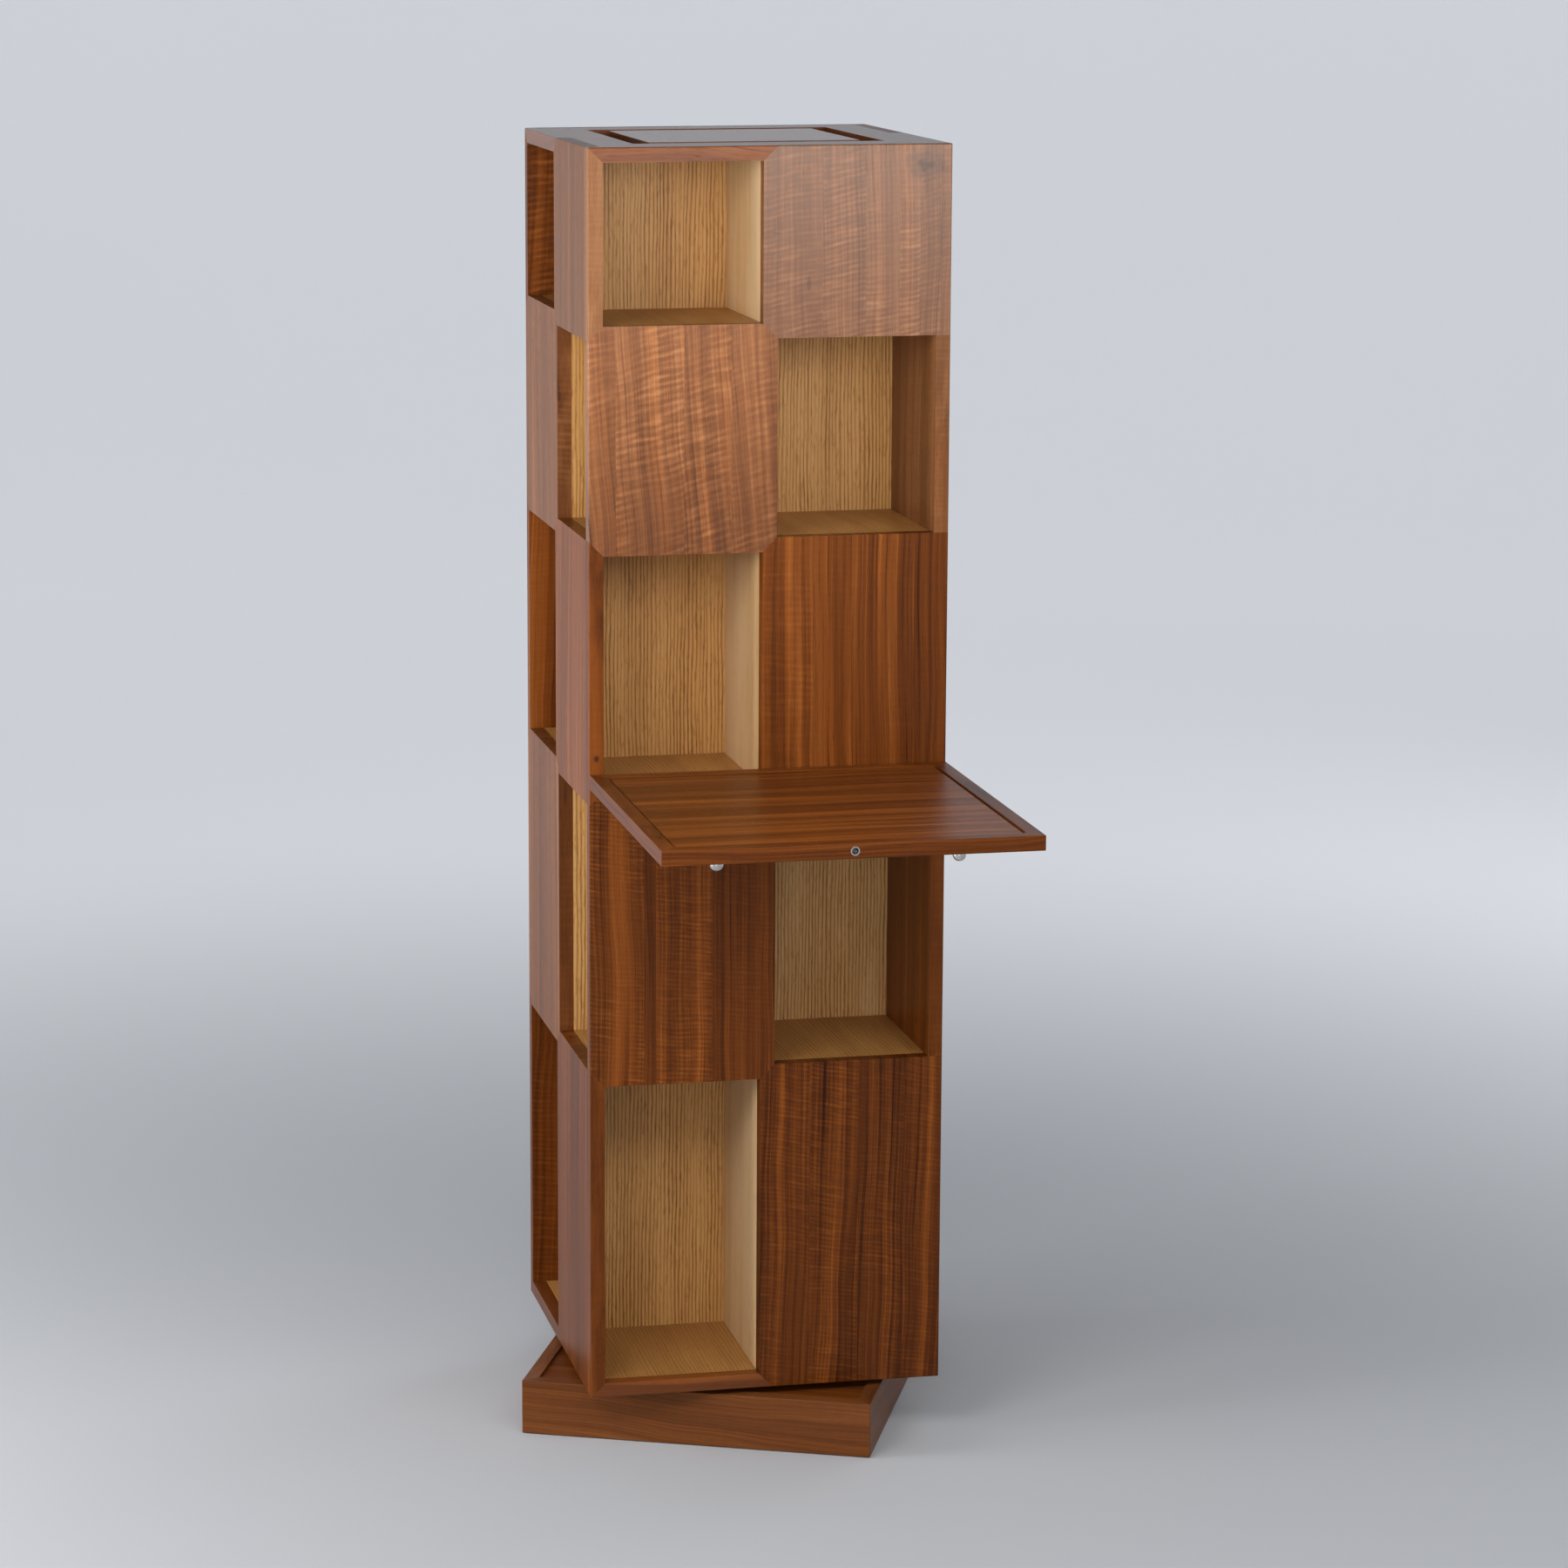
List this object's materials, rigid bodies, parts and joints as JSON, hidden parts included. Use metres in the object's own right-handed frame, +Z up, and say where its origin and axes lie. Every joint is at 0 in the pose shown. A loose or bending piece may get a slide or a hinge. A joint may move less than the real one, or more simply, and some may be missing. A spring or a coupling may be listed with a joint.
{
  "type": "revolving photo album stand",
  "caption": "Tall square revolving walnut tower with pinwheel shelf cells on a square plinth and a cantilevered square reading tray on its front.",
  "frame": {"origin": "on the floor at the swivel axis, under the middle of the plinth", "axes": "+Z up along the swivel axis, -Y out of the tower's front face, where the tray is; +X to the right seen from the front"},
  "size_m": [0.5504, 0.9062, 1.53],
  "materials": {
    "walnut_figured": "satin",
    "walnut_plain": "satin",
    "ash": "satin",
    "plain_block": "raw",
    "bright_steel": "polished",
    "bearing_steel": "brushed",
    "glide": "matte"
  },
  "bodies": {
    "plinth": {"plinth_rail_front": "walnut_plain", "plinth_rail_right": "walnut_plain", "plinth_rail_back": "walnut_plain", "plinth_rail_left": "walnut_plain", "plinth_panel": "walnut_plain", "plinth_bottom_board": "plain_block", "plinth_glides": "glide", "race_lower_ring": "bearing_steel", "race_balls": "bearing_steel"},
    "tower": {"panel_1_front": "walnut_figured", "panel_1_right": "walnut_figured", "panel_1_back": "walnut_figured", "panel_1_left": "walnut_figured", "panel_2_front": "walnut_figured", "panel_2_right": "walnut_figured", "panel_2_back": "walnut_figured", "panel_2_left": "walnut_figured", "panel_3_front": "walnut_figured", "panel_3_right": "walnut_figured", "panel_3_back": "walnut_figured", "panel_3_left": "walnut_figured", "panel_4_front": "walnut_figured", "panel_4_right": "walnut_figured", "panel_4_back": "walnut_figured", "panel_4_left": "walnut_figured", "panel_5_front": "walnut_figured", "panel_5_right": "walnut_figured", "panel_5_back": "walnut_figured", "panel_5_left": "walnut_figured", "partition_1_deep": "ash", "partition_1_wide": "ash", "partition_2_deep": "ash", "partition_2_wide": "ash", "partition_3_deep": "ash", "partition_3_wide": "ash", "partition_4_deep": "ash", "partition_4_wide": "ash", "partition_5_deep": "ash", "partition_5_wide": "ash", "floor_board_1": "ash", "floor_board_2": "ash", "floor_board_3": "ash", "floor_board_4": "ash", "bottom_board": "walnut_plain", "top_border_front": "walnut_plain", "top_border_right": "walnut_plain", "top_border_back": "walnut_plain", "top_border_left": "walnut_plain", "top_thin_board": "walnut_plain", "top_centre_panel": "walnut_plain", "tray_guide_rod": "bright_steel", "tray_dowels": "bright_steel", "race_upper_ring": "bearing_steel"},
    "tray": {"tray_rail_front": "walnut_plain", "tray_rail_right": "walnut_plain", "tray_rail_rear": "walnut_plain", "tray_rail_left": "walnut_plain", "tray_panel": "walnut_plain", "tray_tube": "bright_steel", "tray_pins": "bright_steel"}
  },
  "joints": [
    {"name": "swivel", "type": "hinge", "parent": "plinth", "child": "tower", "pos_m": [0, 0, 0.068], "axis": [0, 0, 1], "continuous": true},
    {"name": "tray_pull", "type": "slide", "parent": "tower", "child": "tray", "axis": [0, -1, 0], "range_m": [0, 0.37]}
  ]
}
